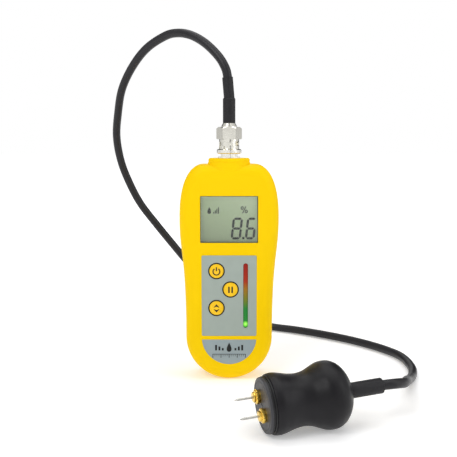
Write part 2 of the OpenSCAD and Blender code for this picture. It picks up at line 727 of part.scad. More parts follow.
module probe_ring() {
    color([0.12, 0.12, 0.13]) on_probe() rotate_extrude($fn = 96) difference() {
        polygon([[0, 58.8], [13.5, 58.8], [13.5, 59.6], [12.9, 59.6], [12.9, 60.1], [13.3, 60.1],
            [13.3, 60.7], [0, 60.7]]);
        square([core_r + 0.2, 62]);
    }
}
face_r = 13.1;
post_r = 2;
module probe_face() {
    color([0.33, 0.33, 0.34]) on_probe() difference() {
        union() {
            rotate_extrude($fn = 96) polygon([[0, 60.7], [face_r, 60.7], [face_r, face_at - 0.4],
                [face_r - 0.4, face_at], [0, face_at]]);
            tube_z(core_r, 0, core_front, 60.7);
        }
        for (s = [-1, 1]) translate([s * pin_pitch / 2, 0, 0]) tube_z(post_r, 0, 57, face_at + 1);
        box([-1.2, -0.5, face_at - 0.6], [1.2, 0.5, face_at + 1]);
    }
}
module cable_clamp() {
    color([0.7, 0.7, 0.7]) on_probe() difference() {
        box([-4, -3, core_back + 2], [4, 3, core_back + 6]);
        tube_z(1.6, 0, core_back, core_back + 8);
    }
}
post_top = face_at + 2;
module chuck_posts() {
    color([0.83, 0.66, 0.25]) on_probe() for (s = [-1, 1]) translate([s * pin_pitch / 2, 0, 0])
        difference() {
            union() {
                tube_z(post_r, 0, 52, post_top);
                tube_z(3.2, 0, face_at, face_at + 0.5);
                translate([0, 0, 56.6]) cylinder(r = 3.1, h = 2, $fn = 6);
            }
            tube_z(pin_d / 2 + 0.04, 0, 54, post_top + 1);
        }
}
nut_z = face_at + 0.6;
nut_len = 2.7;
module chuck_nut(s) {
    color([0.88, 0.72, 0.3]) on_probe() translate([s * pin_pitch / 2, 0, 0]) difference() {
        rotate_extrude() polygon([[0, nut_z], [3.2, nut_z], [3.5, nut_z + 0.3], [3.5, nut_z + 1.2],
            [3.1, nut_z + 1.6], [2.5, nut_z + 1.8], [2.5, nut_z + nut_len - 0.3],
            [2.2, nut_z + nut_len], [0, nut_z + nut_len]]);
        tube_z(post_r + 0.06, 0, nut_z - 1, post_top + 0.2);
        tube_z(pin_d / 2 + 0.04, 0, nut_z, nut_z + nut_len + 1);
        for (a = [0 : 45 : 315]) rotate([0, 0, a]) translate([4.05, 0, nut_z - 1])
            cylinder(r = 0.8, h = 2.6, $fn = 16);
    }
}
module chuck_nut_upper() { chuck_nut(1); }
module chuck_nut_lower() { chuck_nut(-1); }
pin_tip = nut_z + nut_len + pin_reach;
module pin(s) {
    color([0.75, 0.74, 0.72]) on_probe() translate([s * pin_pitch / 2, 0, 0]) {
        tube_z(pin_d / 2, 0, 54.2, pin_tip - 1.6);
        translate([0, 0, pin_tip - 1.6]) cylinder(r1 = pin_d / 2, r2 = 0.08, h = 1.6);
    }
}
module pin_upper() { pin(1); }
module pin_lower() { pin(-1); }
module post_tags() {
    color([0.8, 0.78, 0.7]) on_probe() for (s = [-1, 1]) translate([s * pin_pitch / 2, 0, 0]) difference() {
        union() {
            tube_z(3.1, 0, 55.8, 56.6);
            box([-1.2, 0, 55.8], [1.2, 6, 56.6]);
        }
        tube_z(post_r, 0, 55, 58);
    }
}
module probe_wires() {
    on_probe() for (s = [-1, 1]) color(s > 0 ? "white" : "black")
        translate([s * pin_pitch / 2, 4.6, 0]) tube_z(0.6, 0, core_back + 6, 55.8);
}

front_shell();
rear_shell();
case_seal();
case_screws();
display_window();
lcd_panel();
lcd_frame();
lcd_strips();
keypad_label();
name_plate();
key_rings();
power_key();
hold_key();
mode_key();
key_switches();
light_bar();
indicator_leds();
circuit_board();
board_chips();
board_crystal();
board_screws();
battery_door();
batteries();
battery_springs();
battery_plates();
battery_wires();
socket_body();
socket_insulator();
socket_contact();
socket_washer();
socket_nut();
socket_wires();
plug_body();
plug_spring();
plug_insulator();
plug_pin();
coupling_nut();
plug_ferrule();
plug_boot();
plug_sleeve();
lead();
probe_boot();
probe_grip();
probe_core();
probe_ring();
probe_face();
cable_clamp();
chuck_posts();
chuck_nut_upper();
chuck_nut_lower();
pin_upper();
pin_lower();
post_tags();
probe_wires();
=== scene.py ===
import math

import bmesh
import bpy
from mathutils import Matrix, Vector


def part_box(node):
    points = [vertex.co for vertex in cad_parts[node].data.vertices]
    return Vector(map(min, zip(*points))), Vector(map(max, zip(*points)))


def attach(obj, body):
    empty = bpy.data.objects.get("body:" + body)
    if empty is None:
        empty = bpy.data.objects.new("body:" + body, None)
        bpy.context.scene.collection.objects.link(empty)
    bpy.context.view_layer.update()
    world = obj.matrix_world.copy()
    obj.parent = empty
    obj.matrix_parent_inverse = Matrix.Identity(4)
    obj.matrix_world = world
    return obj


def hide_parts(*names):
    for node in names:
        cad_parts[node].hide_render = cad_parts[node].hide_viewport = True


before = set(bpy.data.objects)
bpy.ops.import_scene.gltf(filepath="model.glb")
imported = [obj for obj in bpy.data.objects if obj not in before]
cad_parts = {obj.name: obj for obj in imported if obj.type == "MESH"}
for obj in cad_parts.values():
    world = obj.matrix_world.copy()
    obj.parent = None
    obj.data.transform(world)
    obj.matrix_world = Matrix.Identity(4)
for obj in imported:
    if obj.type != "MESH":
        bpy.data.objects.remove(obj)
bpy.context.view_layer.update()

# Looks of a handheld pin moisture meter with its lead and two-pin probe.
# Shapes are worked out in millimetres and become metres when a mesh is made.
MM = 0.001


def size_of(node):
    """The lowest and highest corner of a CAD node, in millimetres."""
    low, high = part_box(node)
    return low / MM, high / MM


def middle_of(node):
    low, high = size_of(node)
    return (low + high) / 2


# ---- meshes -----------------------------------------------------------------------------


def add(name, data):
    """A new object in the scene."""
    piece = bpy.data.objects.new(name, data)
    bpy.context.scene.collection.objects.link(piece)
    return piece


def new_piece(name, points, faces, material=None, matrix=None):
    """A closed mesh from points in millimetres."""
    mesh = bpy.data.meshes.new(name)
    mesh.from_pydata([tuple(p) for p in points], [], faces)
    work = bmesh.new()
    work.from_mesh(mesh)
    bmesh.ops.recalc_face_normals(work, faces=work.faces)
    work.to_mesh(mesh)
    work.free()
    if matrix is not None:
        mesh.transform(matrix)
    mesh.transform(Matrix.Scale(MM, 4))
    piece = add(name, mesh)
    if material is not None:
        mesh.materials.append(material)
    smooth(piece, 32)
    return piece


def smooth(piece, angle):
    """Shades the piece smooth, but for edges sharper than the angle in degrees."""
    piece.data.shade_smooth()
    piece.data.set_sharp_from_angle(angle=math.radians(angle))


def paint(piece, material):
    """Gives the whole piece one material."""
    piece.data.materials.clear()
    piece.data.materials.append(material)


def settle(piece):
    """Applies the piece's modifiers."""
    graph = bpy.context.evaluated_depsgraph_get()
    mesh = bpy.data.meshes.new_from_object(piece.evaluated_get(graph))
    piece.modifiers.clear()
    piece.data = mesh


def combine(piece, tools, operation="DIFFERENCE"):
    """Cuts the tools out of the piece, or joins them to it, and removes them."""
    for tool in tools:
        change = piece.modifiers.new(operation.lower(), "BOOLEAN")
        change.operation = operation
        change.solver = "EXACT"
        change.object = tool
    settle(piece)
    for tool in tools:
        bpy.data.objects.remove(tool)
    return piece


def loft(name, rings, material=None):
    """A closed skin over rings of equally many points, with flat ends."""
    count = len(rings[0])
    faces = [list(range(count)), [(len(rings) - 1) * count + i for i in range(count)]]
    for k in range(len(rings) - 1):
        for i in range(count):
            j = (i + 1) % count
            faces.append([k * count + i, k * count + j, (k + 1) * count + j, (k + 1) * count + i])
    return new_piece(name, [p for ring in rings for p in ring], faces, material)


def lathe(name, profile, material=None, matrix=None, sides=96):
    """Turns a closed profile of (radius, height) round Z. A radius of 0 makes a pole."""
    points = []
    starts = []
    for radius, height in profile:
        starts.append(len(points))
        if radius == 0:
            points.append((0, 0, height))
        else:
            for k in range(sides):
                a = 2 * math.pi * k / sides
                points.append((radius * math.cos(a), radius * math.sin(a), height))
    faces = []
    for i in range(len(profile)):
        j = (i + 1) % len(profile)
        for k in range(sides):
            m = (k + 1) % sides
            low = [starts[i]] if profile[i][0] == 0 else [starts[i] + k, starts[i] + m]
            high = [starts[j]] if profile[j][0] == 0 else [starts[j] + m, starts[j] + k]
            if len(low) + len(high) > 2:
                faces.append(low + high)
    return new_piece(name, points, faces, material, matrix)


def slab(name, shape, y0, y1, material=None, flare=0.0):
    """A flat shape given in X and Z, from depth y0 to y1. With a flare it opens out in a small
    round towards y0, as the rim of a moulded recess does."""
    steps = 4 if flare > 0 else 0
    rings = [[(x, y1, z) for x, z in shape]]
    for k in range(steps + 1):
        a = math.pi / 2 * k / steps if steps else 0
        wide = flare * (1 - math.cos(a))
        y = y0 + flare * (1 - math.sin(a)) if steps else y0
        rings.append([(x, y, z) for x, z in offset(shape, wide)])
    if flare > 0:
        rings.append([(x, y0 - 2, z) for x, z in offset(shape, flare)])
    return loft(name, rings, material)


def offset(shape, distance):
    """Moves each point of a closed outline outwards along its mitre."""
    if distance == 0:
        return shape
    area = sum(a[0] * b[1] - b[0] * a[1] for a, b in zip(shape, shape[1:] + shape[:1]))
    turn = 1 if area > 0 else -1
    moved = []
    for i, here in enumerate(shape):
        before = Vector(here) - Vector(shape[i - 1])
        after = Vector(shape[(i + 1) % len(shape)]) - Vector(here)
        n0 = Vector((before.y, -before.x)).normalized() * turn
        n1 = Vector((after.y, -after.x)).normalized() * turn
        mitre = (n0 + n1) / max(0.4, 1 + n0.dot(n1))
        moved.append(tuple(Vector(here) + mitre * distance))
    return moved


def round_box(width, height, radius, cx=0.0, cz=0.0, steps=8):
    """The outline of a rectangle with rounded corners."""
    points = []
    for sx, sz, start in ((1, -1, -90), (1, 1, 0), (-1, 1, 90), (-1, -1, 180)):
        for k in range(steps + 1):
            a = math.radians(start + 90 * k / steps)
            x = cx + sx * (width / 2 - radius) + radius * math.cos(a)
            points.append((x, cz + sz * (height / 2 - radius) + radius * math.sin(a)))
    return points


def disc(radius, cx, cz, steps=64):
    turns = [2 * math.pi * k / steps for k in range(steps)]
    return [(cx + radius * math.cos(a), cz + radius * math.sin(a)) for a in turns]


def block(name, low, high, matrix=None):
    """A box between two corners."""
    spans = list(zip(low, high))
    corners = [(x, y, z) for x in spans[0] for y in spans[1] for z in spans[2]]
    faces = [(0, 1, 3, 2), (4, 5, 7, 6), (0, 1, 5, 4), (2, 3, 7, 6), (0, 2, 6, 4), (1, 3, 7, 5)]
    return new_piece(name, corners, faces, None, matrix)


def upright(x, half, z0, z1):
    """The outline of a bar about x, from height z0 to z1."""
    return [(x - half, z0), (x + half, z0), (x + half, z1), (x - half, z1)]


def bar_y(name, x, z, radius, y0, y1):
    """A round bar along Y."""
    return slab(name, disc(radius, x, z), y0, y1)


def soften(piece, width, angle=40):
    """Rounds the sharp edges of a piece."""
    change = piece.modifiers.new("soften", "BEVEL")
    change.width = width * MM
    change.segments = 3
    change.limit_method = "ANGLE"
    change.angle_limit = math.radians(angle)
    change.use_clamp_overlap = True
    settle(piece)
    smooth(piece, 35)
    return piece


def place(piece, body, slot, *nodes):
    """Attaches the piece to what it moves with and hides the CAD nodes that it stands for. The slot, its
    finish, is not used.
    """
    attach(piece, body)
    if nodes:
        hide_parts(*nodes)
    return piece


# ---- materials --------------------------------------------------------------------------


def link(tree, source, target):
    tree.links.new(source, target)


def noise(tree, scale, detail, stretch=(1, 1, 1)):
    """Noise over the piece's own coordinates, which are metres; scale is in turns per metre."""
    where = tree.nodes.new("ShaderNodeTexCoord")
    mapping = tree.nodes.new("ShaderNodeMapping")
    mapping.inputs["Scale"].default_value = stretch
    texture = tree.nodes.new("ShaderNodeTexNoise")
    texture.inputs["Scale"].default_value = scale
    texture.inputs["Detail"].default_value = detail
    link(tree, where.outputs["Object"], mapping.inputs["Vector"])
    link(tree, mapping.outputs["Vector"], texture.inputs["Vector"])
    return texture.outputs["Fac"]


def stretched(tree, source, low, high, to_low=0.0, to_high=1.0):
    """Maps the values from low to high onto those from to_low to to_high."""
    node = tree.nodes.new("ShaderNodeMapRange")
    ends = {"From Min": low, "From Max": high, "To Min": to_low, "To Max": to_high}
    for name, value in ends.items():
        node.inputs[name].default_value = value
    link(tree, source, node.inputs["Value"])
    return node.outputs["Result"]


def ramp(tree, source, stops):
    """A colour ramp: stops are (position, colour)."""
    node = tree.nodes.new("ShaderNodeValToRGB")
    elements = node.color_ramp.elements
    while len(elements) < len(stops):
        elements.new(0.5)
    for element, (position, colour) in zip(elements, stops):
        element.position = position
        element.color = (*colour, 1)
    link(tree, source, node.inputs["Fac"])
    return node.outputs["Color"]


def grey(value):
    return (value, value, value)


def tint(colour, factor):
    return tuple(min(1.0, c * factor) for c in colour)


def finish_of(name, colour, roughness, metallic=0.0, mottle=0.05, mottle_scale=90, spread=0.05,
              grain=1500, depth=0.00002, specular=0.5, coat=0.0, stretch=(1, 1, 1)):
    """A moulded, plated or rubber finish: clouded colour, uneven gloss and a fine surface grain.
    Scales are in turns per metre, and depth is in metres."""
    material = bpy.data.materials.new(name)
    material.use_nodes = True
    tree = material.node_tree
    shader = tree.nodes["Principled BSDF"]
    shader.inputs["Metallic"].default_value = metallic
    shader.inputs["Specular IOR Level"].default_value = specular
    shader.inputs["Coat Weight"].default_value = coat
    shader.inputs["Coat Roughness"].default_value = 0.12
    cloud = noise(tree, mottle_scale, 4)
    colours = [(0.35, tint(colour, 1 - mottle)), (0.65, tint(colour, 1 + mottle))]
    link(tree, ramp(tree, cloud, colours), shader.inputs["Base Color"])
    uneven = noise(tree, mottle_scale * 3.1, 5, stretch)
    gloss = [(0.3, grey(roughness - spread)), (0.7, grey(roughness + spread))]
    link(tree, ramp(tree, uneven, gloss), shader.inputs["Roughness"])
    if depth > 0:
        bump = tree.nodes.new("ShaderNodeBump")
        bump.inputs["Distance"].default_value = depth
        bump.inputs["Strength"].default_value = 0.6
        link(tree, noise(tree, grain, 2, stretch), bump.inputs["Height"])
        link(tree, bump.outputs["Normal"], shader.inputs["Normal"])
    return material


def along(tree, weights, low, high):
    """0 to 1 as a weighted sum of the object coordinates goes from low to high."""
    where = tree.nodes.new("ShaderNodeTexCoord")
    dot = tree.nodes.new("ShaderNodeVectorMath")
    dot.operation = "DOT_PRODUCT"
    dot.inputs[1].default_value = weights
    link(tree, where.outputs["Object"], dot.inputs[0])
    return stretched(tree, dot.outputs["Value"], low, high)


def case_yellow():
    return finish_of("case_yellow_plastic", (0.92, 0.60, 0.0015), 0.45, mottle=0.012,
                     mottle_scale=40, spread=0.04, grain=3200, depth=0.000025, specular=0.05)


def key_yellow():
    return finish_of("key_yellow_plastic", (0.93, 0.56, 0.008), 0.34, mottle=0.03, mottle_scale=260,
                     grain=2600, depth=0.00001, specular=0.3)


def print_black():
    return finish_of("printing_ink", (0.014, 0.015, 0.015), 0.5, mottle=0.15, mottle_scale=900,
                     grain=4000, specular=0.2)


def black_trim():
    return finish_of("black_rubber_trim", (0.009, 0.009, 0.0095), 0.5, mottle=0.1, mottle_scale=400,
                     specular=0.2)


def film_label():
    return finish_of("film_label_grey", (0.335, 0.39, 0.35), 0.46, mottle=0.025, mottle_scale=150,
                     grain=5200, depth=0.00002, specular=0.4)


def film_plate():
    return finish_of("film_plate_grey", (0.285, 0.345, 0.36), 0.46, mottle=0.025, mottle_scale=150,
                     grain=5200, depth=0.00002, specular=0.4)


def nickel():
    return finish_of("nickel_plate", (0.86, 0.84, 0.76), 0.08, 1.0, mottle=0.03, mottle_scale=300,
                     spread=0.06, grain=1400, depth=0.000012, stretch=(1, 1, 6))


def brass():
    return finish_of("gold_plated_brass", (0.83, 0.56, 0.11), 0.17, 1.0, mottle=0.05, mottle_scale=500,
                     spread=0.06, grain=2200, depth=0.00001)


def pin_steel():
    return finish_of("pin_steel", (0.46, 0.455, 0.43), 0.2, 1.0, mottle=0.06, mottle_scale=700,
                     grain=3000, depth=0.00001)


def dark_steel():
    return finish_of("blackened_steel", (0.12, 0.12, 0.125), 0.35, 1.0, mottle=0.1, mottle_scale=600)


def lead_jacket():
    return finish_of("lead_jacket", (0.0125, 0.012, 0.0145), 0.40, mottle=0.12, mottle_scale=70,
                     spread=0.06, grain=900, depth=0.00006, specular=0.3)


def shrink_sleeve():
    return finish_of("shrink_sleeve", (0.0125, 0.012, 0.014), 0.5, mottle=0.12, mottle_scale=240,
                     spread=0.06, grain=1100, depth=0.00008, specular=0.25)


def grip_rubber():
    return finish_of("grip_rubber", (0.0065, 0.006, 0.0075), 0.42, mottle=0.25, mottle_scale=55,
                     spread=0.08, grain=2600, depth=0.00004, specular=0.22)


def face_plastic():
    return finish_of("probe_face_plastic", (0.045, 0.045, 0.05), 0.45, mottle=0.08, mottle_scale=200,
                     specular=0.3)


def black_plastic():
    return finish_of("black_plastic", (0.012, 0.012, 0.013), 0.4, mottle=0.1, mottle_scale=200,
                     specular=0.3)


def board_green():
    return finish_of("circuit_board", (0.02, 0.13, 0.045), 0.35, mottle=0.25, mottle_scale=700,
                     coat=0.3)


def white_plastic():
    return finish_of("white_plastic", (0.78, 0.78, 0.75), 0.45, mottle=0.03)


def pink_rubber():
    return finish_of("strip_rubber", (0.7, 0.25, 0.3), 0.5, mottle=0.1, mottle_scale=900)


def wire_red():
    return finish_of("wire_red", (0.6, 0.02, 0.02), 0.4, mottle=0.08, mottle_scale=500)


def wire_white():
    return finish_of("wire_white", (0.75, 0.74, 0.7), 0.4, mottle=0.05, mottle_scale=500)


def battery_wrap():
    """A cell's printed wrapper: dark body, a copper-coloured band towards one end, steel cap."""
    material = finish_of("battery_wrap", (0.06, 0.09, 0.16), 0.3, coat=0.4, mottle=0.05)
    tree = material.node_tree
    low, high = size_of("batteries")
    up = along(tree, (0, 0, 1), low.z * MM, high.z * MM)
    steel, blue, copper = grey(0.55), (0.05, 0.07, 0.13), (0.62, 0.3, 0.1)
    bands = [(0.0, steel), (0.03, blue), (0.7, blue), (0.72, copper), (0.95, copper), (0.97, steel)]
    colour = ramp(tree, up, bands)
    link(tree, colour, tree.nodes["Principled BSDF"].inputs["Base Color"])
    return material


def lcd_glass():
    """The unlit field of the display: grey-green, with painted light that makes it lighter towards its
    upper right.
    """
    material = finish_of("display_field_painted_light", (0.4, 0.43, 0.36), 0.38, mottle=0.02, depth=0,
                         specular=0.3)
    tree = material.node_tree
    low, high = size_of("lcd_panel")
    across = 0.5                # how much the painted light changes across, for each unit up
    bottom = (across * low.x + low.z) * MM
    top = (across * high.x + high.z) * MM
    field = along(tree, (across, 0, 1), bottom, top)
    # painted light: the field goes from dim at the lower left to bright at the upper right, as the light
    # falls on it
    shades = [(0.1, (0.43, 0.48, 0.31)), (0.5, (0.63, 0.71, 0.48)), (0.9, (0.93, 1.0, 0.77))]
    link(tree, ramp(tree, field, shades), tree.nodes["Principled BSDF"].inputs["Base Color"])
    return material


def light_pipe():
    """Frosted strip printed red, amber and green, with the lowest green light lit behind it."""
    material = finish_of("light_strip", (0.3, 0.3, 0.1), 0.35, depth=0.00001, specular=0.2)
    tree = material.node_tree
    shader = tree.nodes["Principled BSDF"]
    low, high = size_of("light_bar")
    up = along(tree, (0, 0, 1), low.z * MM, high.z * MM)
    shades = [(0.0, (0.02, 0.26, 0.035)), (0.3, (0.02, 0.22, 0.035)), (0.45, (0.17, 0.19, 0.015)),
              (0.6, (0.33, 0.15, 0.01)), (0.72, (0.38, 0.03, 0.008)), (1.0, (0.30, 0.012, 0.008))]
    link(tree, ramp(tree, up, shades), shader.inputs["Base Color"])
    where = tree.nodes.new("ShaderNodeTexCoord")
    apart = tree.nodes.new("ShaderNodeVectorMath")
    apart.operation = "DISTANCE"
    centre = (low + high) / 2 * MM
    lit_z = low.z + 2.2         # height of the light that is on
    lit_r = 1.9                 # how far it shines
    apart.inputs[1].default_value = (centre.x, low.y * MM, lit_z * MM)
    link(tree, where.outputs["Object"], apart.inputs[0])
    near = stretched(tree, apart.outputs["Value"], 0, lit_r * MM)
    glow = [(0.0, (0.75, 1.0, 0.25)), (0.35, (0.3, 0.9, 0.06)), (1.0, (0.0, 0.0, 0.0))]
    link(tree, ramp(tree, near, glow), shader.inputs["Emission Color"])
    shader.inputs["Emission Strength"].default_value = 0.9
    return material


def clear_window():
    """Clear hard-coated acrylic: what is behind shows, with a faint even reflection."""
    material = bpy.data.materials.new("clear_acrylic")
    material.use_nodes = True
    tree = material.node_tree
    tree.nodes.clear()
    output = tree.nodes.new("ShaderNodeOutputMaterial")
    mix = tree.nodes.new("ShaderNodeMixShader")
    through = tree.nodes.new("ShaderNodeBsdfTransparent")
    through.inputs["Color"].default_value = (0.97, 0.985, 0.97, 1)
    gloss = tree.nodes.new("ShaderNodeBsdfGlossy")
    gloss.inputs["Color"].default_value = (1, 1, 1, 1)
    fresnel = tree.nodes.new("ShaderNodeFresnel")
    fresnel.inputs["IOR"].default_value = 1.33
    haze = [(0.3, grey(0.05)), (0.7, grey(0.11))]
    link(tree, ramp(tree, noise(tree, 160, 4), haze), gloss.inputs["Roughness"])
    link(tree, fresnel.outputs["Fac"], mix.inputs["Fac"])
    link(tree, through.outputs["BSDF"], mix.inputs[1])
    link(tree, gloss.outputs["BSDF"], mix.inputs[2])
    link(tree, mix.outputs["Shader"], output.inputs["Surface"])
    return material


def lcd_ink():
    return finish_of("display_segments", (0.006, 0.011, 0.008), 0.5, mottle=0.05,
                     mottle_scale=900, depth=0, specular=0.1)


# ---- case -------------------------------------------------------------------------------

shell_low, shell_high = size_of("front_shell")
FACE_Y = shell_low.y
BACK_Y = -FACE_Y
CASE_TOP = shell_high.z
HALF_WIDTH = shell_high.x
EDGE_R = 6.0            # of the long outer edges
FOOT_R = 24.5           # of the foot, seen from the front
COLLAR_Z = CASE_TOP - 3.3  # level of the shoulders at the root of the collar
WALL = 2.2
SEAM = 0.22             # depth and half width of the groove between the two halves
TOP_HALF = 15.0         # half width of the top part that stays on the front half
TOP_Z = 112.0           # where that part begins
COLLAR_HALF = 11.9      # half width of the collar
COLLAR_BULGE = 14.9     # radius of the collar's front and back, seen from above
COLLAR_SHIFT = COLLAR_BULGE - BACK_Y + 0.05
BAND_Z = CASE_TOP - 2.2 # foot of the collar's upper band
WEB_Z = COLLAR_Z - 4.7  # underside of the solid wall that the socket is fastened to


def bezier(a, b, c, d, t):
    s = 1 - t
    weights = (s ** 3, 3 * s * s * t, 3 * s * t * t, t ** 3)
    return tuple(sum(w * p[i] for w, p in zip(weights, (a, b, c, d))) for i in (0, 1))


def case_outline():
    """The case seen from the front: a round foot, then two curves up to the collar."""
    half = []
    for i in range(49):
        a = math.radians(-90 + 90 * i / 48)
        half.append((FOOT_R * math.cos(a), FOOT_R + FOOT_R * math.sin(a)))
    hip = (FOOT_R, FOOT_R)
    widest = (HALF_WIDTH, 93)
    top = (14.5, COLLAR_Z)
    half += [bezier(hip, (FOOT_R, 73), (HALF_WIDTH, 71), widest, i / 28) for i in range(1, 29)]
    half += [bezier(widest, (HALF_WIDTH, 111), (23, COLLAR_Z), top, i / 40) for i in range(1, 41)]
    return half + [(-x, z) for x, z in half[:0:-1]]


CASE = case_outline()


def case_ring(inset, y, seam=0.0):
    """The case's outline moved inwards; a seam inset leaves out the top part of the front half."""
    ring = []
    count = len(CASE)
    for i, (x, z) in enumerate(CASE):
        step = Vector(CASE[(i + 1) % count]) - Vector(CASE[i - 1])
        normal = Vector((step.y, -step.x)).normalized()
        is_top = abs(x) <= TOP_HALF and z > TOP_Z
        d = inset + (0 if is_top else seam)
        ring.append((x - d * normal.x, y, z - d * normal.y))
    return ring


def half_skin(name, outer_y, seam):
    """One half of the case from the parting plane to its face, over the rounded edge."""
    side = 1 if outer_y > 0 else -1
    rings = [case_ring(0, 0, seam), case_ring(0, side * SEAM)]
    for k in range(13):
        a = math.radians(90 * k / 12)
        rings.append(case_ring(EDGE_R * (1 - math.cos(a)), outer_y - side * EDGE_R * (1 - math.sin(a))))
    return loft(name, rings)


def hollow(name, side, y_start):
    """The space inside one half."""
    edge = side * (BACK_Y - WALL)
    rings = [case_ring(WALL, y_start), case_ring(WALL, edge - side * 2),
             case_ring(EDGE_R * 0.7, edge)]
    return loft(name, rings)


def collar_ring(inset, z, steps=32):
    """The collar seen from above: flat sides, and a front and back that bulge."""
    half = COLLAR_HALF - inset
    radius = COLLAR_BULGE - inset
    front = []
    for i in range(steps + 1):
        x = half * (2 * i / steps - 1)
        front.append((x, COLLAR_SHIFT - math.sqrt(radius * radius - x * x), z))
    return front + [(-x, -y, z) for x, y, z in front]


def collar():
    """The raised socket collar with its set-in upper band and rounded upper edge."""
    step = 0.35                 # how far the band is set in
    edge = 0.8                  # radius of the upper edge
    rings = [collar_ring(0, COLLAR_Z - 6), collar_ring(0, BAND_Z - 0.3),
             collar_ring(0.1, BAND_Z - 0.08), collar_ring(step, BAND_Z),
             collar_ring(step, CASE_TOP - edge)]
    for k in range(1, 7):
        a = math.radians(90 * k / 6)
        inset = step + edge * (1 - math.cos(a))
        rings.append(collar_ring(inset, CASE_TOP - edge + edge * math.sin(a)))
    return loft("collar", rings)


def half_moon(radius, top, centre_z, steps=48):
    """The outline of the plate below the label: a disc cut off along its top."""
    start = math.asin((top - centre_z) / radius)
    points = []
    for k in range(steps + 1):
        a = -math.pi - start + (math.pi + 2 * start) * k / steps
        points.append((radius * math.cos(a), centre_z + radius * math.sin(a)))
    return points


window_low, window_high = size_of("display_window")
label_low, label_high = size_of("keypad_label")
plate_low, plate_high = size_of("name_plate")
light_low, light_high = size_of("light_bar")
KEYS = {name: middle_of(name) for name in ("power_key", "hold_key", "mode_key")}
KEY_R = 3.95            # of the visible cap
KEY_DOME = 0.75         # height of the cap's dome
WINDOW_Z = (window_low.z + window_high.z) / 2
WINDOW_RIM = 1.5        # how far the window's flange reaches past the opening
WINDOW_W = window_high.x - window_low.x - 2 * WINDOW_RIM
WINDOW_H = window_high.z - window_low.z - 2 * WINDOW_RIM
LABEL_Z = (label_low.z + label_high.z) / 2
LABEL_W = label_high.x - label_low.x + 0.1
LABEL_H = label_high.z - label_low.z + 0.1
LABEL_Y = label_high.y
PLATE_R = plate_high.x + 0.05
PLATE_CENTRE = plate_low.z - 0.05 + PLATE_R
LIGHT_X = (light_low.x + light_high.x) / 2
LIGHT_Z = (light_low.z + light_high.z) / 2
LIGHT_W = light_high.x - light_low.x + 0.1
LIGHT_H = light_high.z - light_low.z + 0.1


def front_cuts():
    """Recesses and openings of the front face, and the bore for the socket."""
    through = FACE_Y + WALL + 1
    window = round_box(WINDOW_W, WINDOW_H, 0.5, 0, WINDOW_Z)
    label = round_box(LABEL_W, LABEL_H, 0.8, 0, LABEL_Z)
    moon = half_moon(PLATE_R, plate_high.z, PLATE_CENTRE)
    slot = round_box(LIGHT_W, LIGHT_H, LIGHT_W / 2 - 0.01, LIGHT_X, LIGHT_Z)
    bore_r, bore_low, bore_high = 4.85, COLLAR_Z - 8, CASE_TOP + 1
    bore = [(0, bore_low), (bore_r, bore_low), (bore_r, bore_high), (0, bore_high)]
    cuts = [slab("window_cut", window, FACE_Y, through, flare=0.25),
            slab("label_cut", label, FACE_Y, LABEL_Y, flare=0.2),
            slab("moon_cut", moon, FACE_Y, LABEL_Y, flare=0.2),
            slab("slot_cut", slot, LABEL_Y - 0.2, through),
            lathe("bore", bore)]
    for key in KEYS.values():
        cuts.append(bar_y("key_cut", key.x, key.z, KEY_R + 0.15, LABEL_Y - 0.2, through))
    return cuts


def case_front(material):
    """The front half, with the top part and the collar that the socket is fastened to."""
    shell = half_skin("case_front", FACE_Y, SEAM)
    kept = TOP_HALF - 0.08
    keep = block("keep", (-kept, -1, TOP_Z + 0.08), (kept, BACK_Y + 1, CASE_TOP))
    top = combine(half_skin("top", BACK_Y, SEAM), [keep], "INTERSECT")
    combine(shell, [top, collar()], "UNION")
    inside = hollow("inside", -1, 0.01)
    web = block("web", (-COLLAR_HALF, FACE_Y, WEB_Z), (COLLAR_HALF, BACK_Y, CASE_TOP))
    combine(inside, [web])
    spanned = TOP_HALF - 1.2
    span = block("span", (-spanned, -1, TOP_Z - 1), (spanned, BACK_Y, WEB_Z))
    under_top = combine(hollow("under_top", 1, -0.5), [span], "INTERSECT")
    combine(shell, [inside, under_top] + front_cuts())
    paint(shell, material)
    smooth(shell, 24)
    return place(shell, "meter", "case_yellow", "front_shell")


door_low, door_high = size_of("battery_door")
SCREWS = [(s * x, z) for s in (-1, 1) for x, z in ((18.8, 111.5), (11, 9))]
BAY_HALF, BAY_LOW, BAY_HIGH = 17.6, 19.4, 69.8  # outside of the battery bay
BAY_WALL = 1.2
GROOVE_Z = 87           # height of the middle one of the grip grooves
DOOR_T = 0.9            # half the thickness of the cover, and radius of its hinge pins


